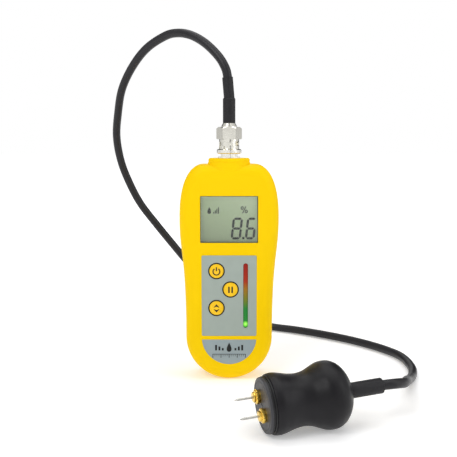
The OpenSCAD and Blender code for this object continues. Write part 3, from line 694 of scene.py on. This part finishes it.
def case_rear(material):
    """The rear half, with the battery bay, screw bosses and grip grooves."""
    shell = half_skin("case_rear", BACK_Y, SEAM)
    top_cut = block("top_cut", (-TOP_HALF, -1, TOP_Z), (TOP_HALF, BACK_Y + 1, CASE_TOP))
    combine(shell, [hollow("inside", 1, -0.01), top_cut])
    bay = block("bay", (-BAY_HALF, -2.2, BAY_LOW), (BAY_HALF, BACK_Y - WALL + 0.1, BAY_HIGH))
    bosses = [bar_y("boss", x, z, 3.5, 0, BACK_Y - 0.5) for x, z in SCREWS]
    combine(shell, [bay] + bosses, "UNION")
    door_z = (door_low.z + door_high.z) / 2
    door_h = door_high.z - door_low.z + 0.9
    opening = round_box(35.5, door_h, 1.2, 0, door_z)
    room = BAY_HALF - BAY_WALL
    bay_cut = block("bay_cut", (-room, -1, BAY_LOW + BAY_WALL),
                    (room, BACK_Y - 0.5, BAY_HIGH - BAY_WALL))
    tools = [slab("door_cut", opening, BACK_Y, BACK_Y - WALL - 0.6), bay_cut]
    for x, z in SCREWS:
        tools.append(bar_y("shaft_cut", x, z, 1.5, -1, BACK_Y - 3))
        tools.append(slab("head_cut", disc(2.7, x, z), BACK_Y + 1, BACK_Y - 4.5))
    for i in range(-2, 3):
        groove = round_box(22, 1.4, 0.69, 0, GROOVE_Z + 4 * i)
        tools.append(slab("groove_cut", groove, BACK_Y + 1, BACK_Y - 0.6))
    combine(shell, tools)
    paint(shell, material)
    soften(shell, 0.18, 50)
    return place(shell, "meter", "case_yellow", "rear_shell")


def battery_cover(material):
    """The hinged cover: a plate with softened edges, a thumb recess, grip ribs and hinge pins."""
    mid_y = BACK_Y - 1.2
    hinge_z = door_high.z - DOOR_T
    half = door_high.x - 1.2
    plate_h = hinge_z - door_low.z
    outline = round_box(half * 2, plate_h, 0.9, 0, door_low.z + plate_h / 2)
    plate = slab("battery_cover", outline, mid_y + DOOR_T, mid_y - DOOR_T)
    soften(plate, 0.25)
    end, tip_r = half + 1.2, DOOR_T - 0.1
    pins = [(0, -end), (tip_r, -end), (DOOR_T, 0.1 - end), (DOOR_T, end - 0.1), (tip_r, end), (0, end)]
    hinge = Matrix.Translation((0, mid_y, hinge_z)) @ Matrix.Rotation(math.pi / 2, 4, "Y")
    combine(plate, [lathe("rod", pins, matrix=hinge)], "UNION")
    above, floor_y = mid_y + 1.9, mid_y + 0.4
    tools = [slab("thumb", round_box(12, 3, 1.49, 0, door_low.z + 4), above, floor_y)]
    for i in range(3):
        groove = round_box(12, 1.2, 0.59, 0, door_low.z + 9 + 3 * i)
        tools.append(slab("groove", groove, above, floor_y))
    arrow = [(-3, door_low.z + 24), (3, door_low.z + 24), (0, door_low.z + 19.5)]
    tools.append(slab("arrow", arrow, above, mid_y + 0.65))
    combine(plate, tools)
    paint(plate, material)
    smooth(plate, 30)
    return place(plate, "battery_door", "case_yellow", "battery_door")


# ---- display ----------------------------------------------------------------------------


def joined(name, pieces, material):
    """Several pieces as one."""
    work = bmesh.new()
    for piece in pieces:
        work.from_mesh(piece.data)
        bpy.data.objects.remove(piece)
    mesh = bpy.data.meshes.new(name)
    work.to_mesh(mesh)
    work.free()
    mesh.materials.append(material)
    whole = add(name, mesh)
    smooth(whole, 32)
    return whole


def display(segments, clear, shadow_finish):
    """The clear window with its flange, a dark strip behind its top and right edges that is the painted
    shadow of the window's wall, and the reading.
    """
    front = slab("window_front", round_box(WINDOW_W - 0.1, WINDOW_H - 0.1, 0.45, 0, WINDOW_Z),
                 window_low.y, FACE_Y + WALL)
    soften(front, 0.18)
    wide, tall = WINDOW_W + 2 * WINDOW_RIM, WINDOW_H + 2 * WINDOW_RIM
    flange = slab("window_flange", round_box(wide, tall, 0.4, 0, WINDOW_Z),
                  FACE_Y + WALL, window_high.y)
    window = joined("window_clear", [front, flange], clear)
    place(window, "meter", "clear_window", "display_window")
    panel_low = size_of("lcd_panel")[0]
    # painted shadow: a dark L-shaped strip along the top and right of the window stands for the shadow
    # that the window's wall casts
    left, right = WINDOW_W / -2 - 1, WINDOW_W / 2 + 1
    low, high = WINDOW_Z - WINDOW_H / 2 - 1, WINDOW_Z + WINDOW_H / 2 + 1
    bar_z = high - 1.45         # underside of the painted shadow bar along the top
    bar_x = right - 1.35        # left side of the painted shadow bar down the right
    edge = [(left, bar_z), (bar_x, bar_z), (bar_x, low), (right, low), (right, high), (left, high)]
    painted_shadow_strip = slab("display_painted_shadow", edge, window_high.y + 0.02, panel_low.y - 0.02, shadow_finish)
    place(painted_shadow_strip, "meter", "black_plastic")
    reading(panel_low.y, segments)


SEGMENTS = {"a": ((0, 2), (1, 2)), "b": ((1, 2), (1, 1)), "c": ((1, 1), (1, 0)), "d": ((0, 0), (1, 0)),
            "e": ((0, 1), (0, 0)), "f": ((0, 2), (0, 1)), "g": ((0, 1), (1, 1))}
SLANT = 0.11


def digit(lit, x, z, width, height, stroke):
    """The lit bars of a slanted seven-segment digit as six-sided outlines."""
    shapes = []
    for key in lit:
        (ax, az), (bx, bz) = SEGMENTS[key]
        a = Vector((ax * width, az * height / 2))
        b = Vector((bx * width, bz * height / 2))
        run = (b - a).normalized()
        side = Vector((-run.y, run.x)) * stroke / 2
        a += run * stroke * 0.12
        b -= run * stroke * 0.12
        nose = run * stroke / 2
        outline = [a, a + nose + side, b - nose + side, b, b - nose - side, a + nose - side]
        shapes.append([(x + p.x + SLANT * p.y, z + p.y) for p in outline])
    return shapes


def drop_outline(cx, cz, size, steps=28):
    """A water drop with its point upwards; size is its height."""
    points = []
    for k in range(steps):
        t = 2 * math.pi * k / steps
        across = 0.36 * size * math.sin(t) * math.sin(t / 2) ** 1.4
        points.append((cx + across, cz + size * 0.5 * math.cos(t)))
    return points


def ring_strip(cx, cz, rx, rz, stroke, steps=20):
    """An oval ring as a list of four-sided patches."""
    patches = []
    for k in range(steps):
        a0 = 2 * math.pi * k / steps
        a1 = 2 * math.pi * (k + 1) / steps
        inner, outer = stroke / -2, stroke / 2
        patches.append([(cx + (rx + r) * math.cos(a), cz + (rz + r) * math.sin(a))
                        for a, r in ((a0, outer), (a1, outer), (a1, inner), (a0, inner))])
    return patches


def reading(glass_y, material):
    """A generic reading: a drop sign, a bar row, a percent sign and 8.6."""
    thin = 0.05
    foot, tall, stroke = 81.4, 11.0, 1.3
    shapes = digit("abcdefg", 1.45, foot, 4.5, tall, stroke)
    shapes += digit("acdefg", 9.45, foot, 4.2, tall, stroke)
    shapes.append(round_box(stroke, stroke, 0.2, 7.95, 81.5, 3))
    shapes += ring_strip(7.3, 98.4, 0.6, 0.75, 0.5) + ring_strip(9.6, 96.5, 0.6, 0.75, 0.5)
    shapes.append([(7.25, 95.5), (7.8, 95.5), (9.6, 99.3), (9.05, 99.3)])
    shapes.append(drop_outline(-11.1, 97.1, 4.0))
    for i in range(4):
        height = 1.0 + 0.85 * i
        x = -8.9 + 0.9 * i
        shapes.append([(x, 95.3), (x + 0.55, 95.3), (x + 0.55, 95.3 + height), (x, 95.3 + height)])
    parts = [slab("part", shape, glass_y - thin, glass_y - 0.01) for shape in shapes]
    place(joined("display_reading", parts, material), "meter", "black_plastic")


# ---- keys, light strip and the plate's print ----------------------------------------------


def strokes(name, lines, depth_at, material, thickness=0.04):
    """Printed lines that lie on a surface: each is its points and its width at each point."""
    points, faces = [], []
    for line, widths in lines:
        start = len(points)
        last = len(line) - 1
        for i, here in enumerate(line):
            run = (Vector(line[min(i + 1, last)]) - Vector(line[max(i - 1, 0)])).normalized()
            side = Vector((-run.y, run.x)) * widths[i] / 2
            for x, z in (Vector(here) + side, Vector(here) - side):
                y = depth_at(x, z)
                points += [(x, y - thickness, z), (x, y + thickness, z)]
        for i in range(last):
            a = start + 4 * i
            b = a + 4
            faces += [(a, a + 2, b + 2, b), (a + 1, b + 1, b + 3, a + 3), (a, b, b + 1, a + 1),
                      (a + 2, a + 3, b + 3, b + 2)]
        end = start + 4 * last
        faces += [(start, start + 1, start + 3, start + 2), (end, end + 2, end + 3, end + 1)]
    return new_piece(name, points, faces, material)


def straight(ax, az, bx, bz, wide, wide_end=None, steps=8):
    """A straight printed line, with its width at each point."""
    wide_end = wide if wide_end is None else wide_end
    line = [(ax + (bx - ax) * i / steps, az + (bz - az) * i / steps) for i in range(steps + 1)]
    return line, [wide + (wide_end - wide) * i / steps for i in range(steps + 1)]


def arc(cx, cz, radius, start, end, wide, steps=28):
    """A printed arc; start and end are in degrees."""
    turns = [math.radians(start + (end - start) * i / steps) for i in range(steps + 1)]
    return [(cx + radius * math.cos(a), cz + radius * math.sin(a)) for a in turns], [wide] * (steps + 1)


def key_symbol(name):
    """Generic marks: power, hold, and up and down for the mode."""
    if name == "power_key":
        return [arc(0, -0.2, 1.9, 125, 415, 0.62), straight(0, 0.1, 0, 2.3, 0.62)]
    if name == "hold_key":
        return [straight(-0.9, -1.8, -0.9, 1.8, 0.85), straight(0.9, -1.8, 0.9, 1.8, 0.85)]
    return [straight(0, 0.5, 0, 2.3, 3.3, 0.05), straight(0, -0.5, 0, -2.3, 3.3, 0.05)]


def keys(cap_material, ring_material, ink):
    """The three domed keys with their symbols, and the surrounds they stand in."""
    rings = []
    for name, centre in KEYS.items():
        low, high = size_of(name)
        apex, stem_end = -low.y, -high.y
        rim = apex - KEY_DOME
        flange = -FACE_Y - WALL - 0.05
        flange_r, flange_back, stem_r = KEY_R + 0.8, flange - 0.8, 1.2
        dome = [(KEY_R * math.cos(a), rim + KEY_DOME * math.sin(a))
                for a in (math.radians(90 * i / 14) for i in range(1, 14))]
        profile = [(0, stem_end), (stem_r, stem_end), (stem_r, flange_back), (flange_r, flange_back),
                   (flange_r, flange), (KEY_R, flange), (KEY_R, rim)] + dome + [(0, apex)]
        facing = Matrix.Translation((centre.x, 0, centre.z)) @ Matrix.Rotation(math.pi / 2, 4, "X")
        cap = lathe(name + "_cap", profile, cap_material, facing)
        place(cap, name, "key_yellow", name)

        def on_dome(x, z, centre=centre, rim=rim):
            away = math.hypot(x - centre.x, z - centre.z) / KEY_R
            return -rim - KEY_DOME * math.sqrt(max(0.0, 1 - away * away))

        lines = []
        for line, widths in key_symbol(name):
            lines.append(([(x + centre.x, z + centre.z) for x, z in line], widths))
        place(strokes(name + "_symbol", lines, on_dome, ink), name, "black_plastic")
        inner, outer, top = KEY_R + 0.15, KEY_R + 0.7, -LABEL_Y + 0.5
        section = [(inner, -LABEL_Y), (outer, -LABEL_Y), (outer, top - 0.12), (outer - 0.12, top),
                   (inner + 0.12, top), (inner, top - 0.12)]
        rings.append(lathe("ring", section, None, facing))
    place(joined("key_surrounds", rings, ring_material), "meter", "black_plastic", "key_rings")


def light_strip(material):
    shape = round_box(LIGHT_W - 0.1, LIGHT_H - 0.1, LIGHT_W / 2 - 0.06, LIGHT_X, LIGHT_Z)
    strip = slab("light_strip", shape, light_low.y, light_high.y, material)
    soften(strip, 0.45)
    return place(strip, "meter", "light_pipe", "light_bar")


def plate_print(ink):
    """Generic marks on the name plate: a drop between two rising rows over a ticked scale."""
    front, back = plate_low.y - 0.03, plate_low.y + 0.02
    foot = PLATE_CENTRE - 7.4
    line_z = PLATE_CENTRE - 9.7
    shapes = [drop_outline(0, foot + 1.9, 5.4)]
    for side in (-1, 1):
        for i in range(3):
            x = side * (3.6 + 1.9 * i)
            shapes.append(upright(x, 0.55, foot, foot + 1.4 + 0.9 * i))
    for i in range(-8, 9):
        half, drop = (0.11, 1.1) if i % 4 else (0.19, 1.9)
        shapes.append(upright(1.15 * i, half, line_z, line_z - drop))
    shapes.append(upright(0, 9.4, line_z, line_z + 0.3))
    parts = [slab("mark", shape, front, back) for shape in shapes]
    place(joined("plate_print", parts, ink), "meter", "black_plastic")


# ---- lead -------------------------------------------------------------------------------

ROUTE = [(0, 0, 148), (0, 0, 160), (-1, 0, 172), (-3, 1, 178), (-7, 4, 184), (-14, 9, 191),
         (-22, 15, 196), (-30, 21, 198), (-38, 27, 197), (-50, 37, 191), (-60, 47, 181), (-68, 57, 168),
         (-72, 65, 153), (-74, 71, 138), (-72, 75, 122), (-67, 79, 107), (-60, 81, 93), (-50, 84, 79),
         (-40, 86, 66), (-29, 88, 52), (-18, 90.5, 38), (-6, 94, 24.5), (6, 97, 13), (18, 99.5, 5.5),
         (31, 98.5, 3), (47, 90, 3), (61, 80.5, 3), (73, 71, 3), (84.5, 60, 3), (94.5, 48, 3),
         (102, 36, 3), (106, 26.5, 3), (107.5, 17.5, 3), (107.8, 8.5, 3), (107, -2, 3),
         (104.2, -12.5, 3), (100, -24.3, 5), (95.8, -36.2, 8), (92.5, -48, 12), (89.4, -59, 15),
         (86.3, -67, 17), (81.2, -72.3, 18.4)]
LEAD_D = 5.0
TAIL = Vector((74.9, -74.1, 18.3))  # rear end of the probe's boot
HEADING = math.radians(15.5)        # of the probe's axis, seen from above
TILT = math.radians(4)              # of its tips, downwards
PIN_ROLL = math.radians(50)         # of the pair of pins, about the axis
PROBE = (Matrix.Translation(TAIL) @ Matrix.Rotation(HEADING, 4, "Z")
         @ Matrix.Rotation(-math.pi / 2 - TILT, 4, "Y") @ Matrix.Rotation(PIN_ROLL, 4, "Z"))


def catmull(points, steps):
    """Points on the smooth curve through all the given ones."""
    line = []
    last = len(points) - 1
    for i in range(last):
        b, c = points[i], points[i + 1]
        a = points[i - 1] if i > 0 else b * 2 - c
        d = points[i + 2] if i < last - 1 else c * 2 - b
        for k in range(steps):
            t = k / steps
            line.append((b * 2 + (c - a) * t + (a * 2 - b * 5 + c * 4 - d) * t ** 2
                         + (b * 3 - a - c * 3 + d) * t ** 3) / 2)
    return line + [points[last]]


# The probe's shapes turn about its axis, with heights measured from the tail of its boot. The
# grip's outline is given as distances behind the front face, with the radius at each.
GRIP = [(3.2, 13.6), (3.6, 14.1), (6.5, 14.38), (10, 13.7), (14, 12.75), (18, 12.35), (22, 12.9),
        (25.5, 14.3), (29, 15.75), (32, 16.18), (35, 15.85), (38, 14.3), (40.5, 11.6),
        (42.3, 8.2), (43.5, 4)]
FACE_AT = 62.0          # the front face
CORE_R, CORE_BACK, CORE_FRONT = 10.8, 22.0, 58.6
RING_AT = 58.8          # the stepped ring starts here
RING_END = 60.7
PIN_PITCH = 10.0


def grip(material):
    outer = catmull([Vector((behind, radius)) for behind, radius in GRIP], 8)
    profile = [(p.y, FACE_AT - p.x) for p in outer]
    bore = 3.05
    profile += [(bore, profile[-1][1]), (bore, CORE_BACK), (CORE_R, CORE_BACK),
                (CORE_R, profile[0][1])]
    moulding = lathe("grip_moulding", profile, material, PROBE, sides=160)
    place(moulding, "meter", "grip_rubber", "probe_grip")


def boot(material):
    """The sleeve on the lead where it enters the grip."""
    bore = LEAD_D / 2 + 0.02
    profile = [(bore, 1.2), (3.5, 1.2), (3.72, 1.32), (3.8, 1.6), (3.8, 18.6), (3, 18.9),
               (3, CORE_BACK), (bore, CORE_BACK)]
    tube = lathe("boot_sleeve", profile, material, PROBE, 72)
    place(tube, "meter", "sleeve_black", "probe_boot")


def front_ring(material):
    bore = CORE_R + 0.2
    profile = [(bore, RING_AT), (13.35, RING_AT), (13.5, 58.95), (13.5, 59.45), (13.35, 59.6),
               (12.9, 59.65), (12.9, 60.05), (13.2, 60.1), (13.3, 60.2), (13.3, 60.6),
               (13.2, RING_END), (bore, RING_END)]
    ring = lathe("front_ring", profile, material, PROBE, 128)
    place(ring, "meter", "black_plastic", "probe_ring")


def front_face(material):
    """The grey front face with a fine groove, a hole for each post and a slit in the middle."""
    groove = FACE_AT - 0.15
    profile = [(0, CORE_FRONT), (CORE_R, CORE_FRONT), (CORE_R, RING_END), (13.1, RING_END),
               (13.1, 61.55), (13.0, 61.8), (12.75, 61.95), (12.5, FACE_AT), (11.6, FACE_AT),
               (11.45, groove), (11.2, groove), (11.05, FACE_AT), (0, FACE_AT)]
    face = lathe("front_face", profile, None, PROBE, 128)
    hole = [(0, 57), (2, 57), (2, 64), (0, 64)]
    tools = []
    for side in (-1, 1):
        shift = Matrix.Translation((side * PIN_PITCH / 2, 0, 0))
        tools.append(lathe("post_hole", hole, None, PROBE @ shift, 48))
    tools.append(block("slit", (-1.2, -0.5, FACE_AT - 0.6), (1.2, 0.5, 64), PROBE))
    combine(face, tools)
    paint(face, material)
    smooth(face, 32)
    place(face, "meter", "face_grey", "probe_face")


def lead(material):
    """The lead as a tube along its route, and its length."""
    route = [Vector(p) for p in ROUTE] + [TAIL, PROBE @ Vector((0, 0, 6))]
    line = catmull(route, 10)
    curve = bpy.data.curves.new("lead_line", "CURVE")
    curve.dimensions = "3D"
    spline = curve.splines.new("POLY")
    spline.points.add(len(line) - 1)
    for point, where in zip(spline.points, line):
        point.co = (*(where * MM), 1)
    spline.use_smooth = True
    curve.bevel_depth = LEAD_D / 2 * MM
    curve.bevel_resolution = 8
    curve.use_fill_caps = True
    curve.materials.append(material)
    piece = add("lead_jacket", curve)
    place(piece, "meter", "lead_black", "lead")
    length = sum((b - a).length for a, b in zip(line, line[1:])) * MM
    return piece, length


# ---- camera, floor and light ------------------------------------------------------------


CAMERA_AT = (-0.00035, -0.4237, 0.1367)
LOOKS_DOWN = 6.85       # degrees
LENS = 58.7
TENT_FRONT, TENT_BACK = 0.6, 0.08               # how strongly the tent lights from each side
FLOOR_NEAR, FLOOR_FAR = (0.2, 0.3), (0.9, 0.8)  # distance, and how strongly it glows there


def camera():
    data = bpy.data.cameras.new("camera")
    data.lens = LENS
    data.sensor_width = 36
    data.clip_end = 20
    view = add("camera", data)
    view.location = CAMERA_AT
    view.rotation_euler = (math.radians(90 - LOOKS_DOWN), 0, 0)
    bpy.context.scene.camera = view


def softbox(name, where, aim, size, power):
    """A rectangular lamp turned towards its aim; power is in watts."""
    data = bpy.data.lights.new(name, "AREA")
    data.shape = "RECTANGLE"
    data.size, data.size_y = size
    data.energy = power
    lamp = add(name, data)
    lamp.location = where
    lamp.rotation_euler = (Vector(aim) - Vector(where)).to_track_quat("-Z", "Y").to_euler()


def surroundings():
    """A white tent, brighter in front. Glossy pieces mirror bright panels with dark gaps between
    them. The bands go round the horizon: 0 and 1 are the camera's side, and 0.5 the far side."""
    world = bpy.data.worlds.new("studio")
    bpy.context.scene.world = world
    world.use_nodes = True
    tree = world.node_tree
    background = tree.nodes["Background"]
    background.inputs["Color"].default_value = (1, 1, 1, 1)
    where = tree.nodes.new("ShaderNodeTexCoord")
    parts = tree.nodes.new("ShaderNodeSeparateXYZ")
    link(tree, where.outputs["Generated"], parts.inputs["Vector"])
    around = tree.nodes.new("ShaderNodeMath")
    around.operation = "ARCTAN2"
    link(tree, parts.outputs["X"], around.inputs[0])
    link(tree, parts.outputs["Y"], around.inputs[1])
    turn = stretched(tree, around.outputs["Value"], -math.pi, math.pi)
    bright, middle, dark = grey(0.76), grey(0.58), grey(0.02)
    bands = [(0.0, bright), (0.2, bright), (0.3, middle), (0.375, middle), (0.39, dark), (0.455, dark),
             (0.47, bright), (0.53, bright), (0.545, dark), (0.61, dark), (0.625, middle), (0.7, middle),
             (0.8, bright), (0.94, bright), (0.946, dark), (0.974, dark), (0.98, bright), (1.0, bright)]
    shine = ramp(tree, turn, bands)
    rays = tree.nodes.new("ShaderNodeLightPath")
    front_to_back = stretched(tree, parts.outputs["Y"], -1, 1, TENT_FRONT, TENT_BACK)
    soft = tree.nodes.new("ShaderNodeMix")
    link(tree, rays.outputs["Is Glossy Ray"], soft.inputs["Factor"])
    link(tree, front_to_back, soft.inputs["A"])
    link(tree, shine, soft.inputs["B"])
    seen = tree.nodes.new("ShaderNodeMix")
    seen.inputs["B"].default_value = 1.0
    link(tree, rays.outputs["Is Camera Ray"], seen.inputs["Factor"])
    link(tree, soft.outputs["Result"], seen.inputs["A"])
    link(tree, seen.outputs["Result"], background.inputs["Strength"])


def floor_white():
    """Matt white that glows more with the distance, so that the floor fades into the tent."""
    floor_material = bpy.data.materials.new("floor_white")
    floor_material.use_nodes = True
    shader = floor_material.node_tree.nodes["Principled BSDF"]
    shader.inputs["Base Color"].default_value = (0.92, 0.92, 0.92, 1)
    shader.inputs["Roughness"].default_value = 0.7
    shader.inputs["Specular IOR Level"].default_value = 0.1
    shader.inputs["Emission Color"].default_value = (1, 1, 1, 1)
    tree = floor_material.node_tree
    where = tree.nodes.new("ShaderNodeTexCoord")
    away = tree.nodes.new("ShaderNodeVectorMath")
    away.operation = "LENGTH"
    link(tree, where.outputs["Object"], away.inputs[0])
    (near, dim), (far, bright) = FLOOR_NEAR, FLOOR_FAR
    glow = stretched(tree, away.outputs["Value"], near, far, dim, bright)
    link(tree, glow, shader.inputs["Emission Strength"])
    return floor_material


def studio():
    """The floor, the tent and three soft lamps."""
    mesh = bpy.data.meshes.new("floor")
    half = 6.0
    corners = [(-half, -half, 0), (half, -half, 0), (half, half, 0), (-half, half, 0)]
    mesh.from_pydata(corners, [], [(0, 1, 2, 3)])
    mesh.materials.append(floor_white())
    floor = add("floor", mesh)
    surroundings()
    softbox("key", (-0.55, -0.75, 0.95), (0, 0, 0.06), (0.6, 0.6), 5.2)
    softbox("top", (0.1, 0.15, 1.1), (0, 0, 0.05), (1.2, 0.9), 5.6)
    softbox("side", (0.85, -0.35, 0.5), (0, 0, 0.08), (0.5, 0.8), 2)
    bpy.context.scene.view_settings.view_transform = "Standard"


# ---- build ------------------------------------------------------------------------------

camera()
cord, cord_length = lead(lead_jacket())
studio()
yellow = case_yellow()
case_front(yellow)
case_rear(yellow)
battery_cover(yellow)
ink = print_black()
trim = black_trim()
display(lcd_ink(), clear_window(), trim)
keys(key_yellow(), trim, ink)
light_strip(light_pipe())
plate_print(ink)
sleeve = shrink_sleeve()
plastic = black_plastic()
grip(grip_rubber())
boot(sleeve)
front_ring(plastic)
front_face(face_plastic())

# CAD nodes that are shown as they are: a finish of their own, or one that several share.
NODE_FINISH = {
    "lcd_panel": lcd_glass(), "keypad_label": film_label(), "name_plate": film_plate(),
    "circuit_board": board_green(), "batteries": battery_wrap(), "lcd_strips": pink_rubber(),
    "battery_wires": wire_red(), "socket_wires": wire_white(), "probe_wires": wire_white(),
    "pin_upper": pin_steel(), "pin_lower": pin_steel(), "case_seal": trim}
SHARED_FINISHES = (
    (nickel(), "battery_springs battery_plates socket_body socket_washer socket_nut plug_body"
               " plug_spring coupling_nut plug_ferrule cable_clamp post_tags board_crystal"),
    (brass(), "socket_contact plug_pin chuck_posts chuck_nut_upper chuck_nut_lower"),
    (dark_steel(), "case_screws board_screws"),
    (white_plastic(), "lcd_frame socket_insulator plug_insulator indicator_leds"),
    (plastic, "key_switches board_chips probe_core"),
    (sleeve, "plug_boot plug_sleeve"))
for finish, nodes in SHARED_FINISHES:
    for node in nodes.split():
        NODE_FINISH[node] = finish
for node, finish in NODE_FINISH.items():
    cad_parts[node].material_slots[0].material = finish
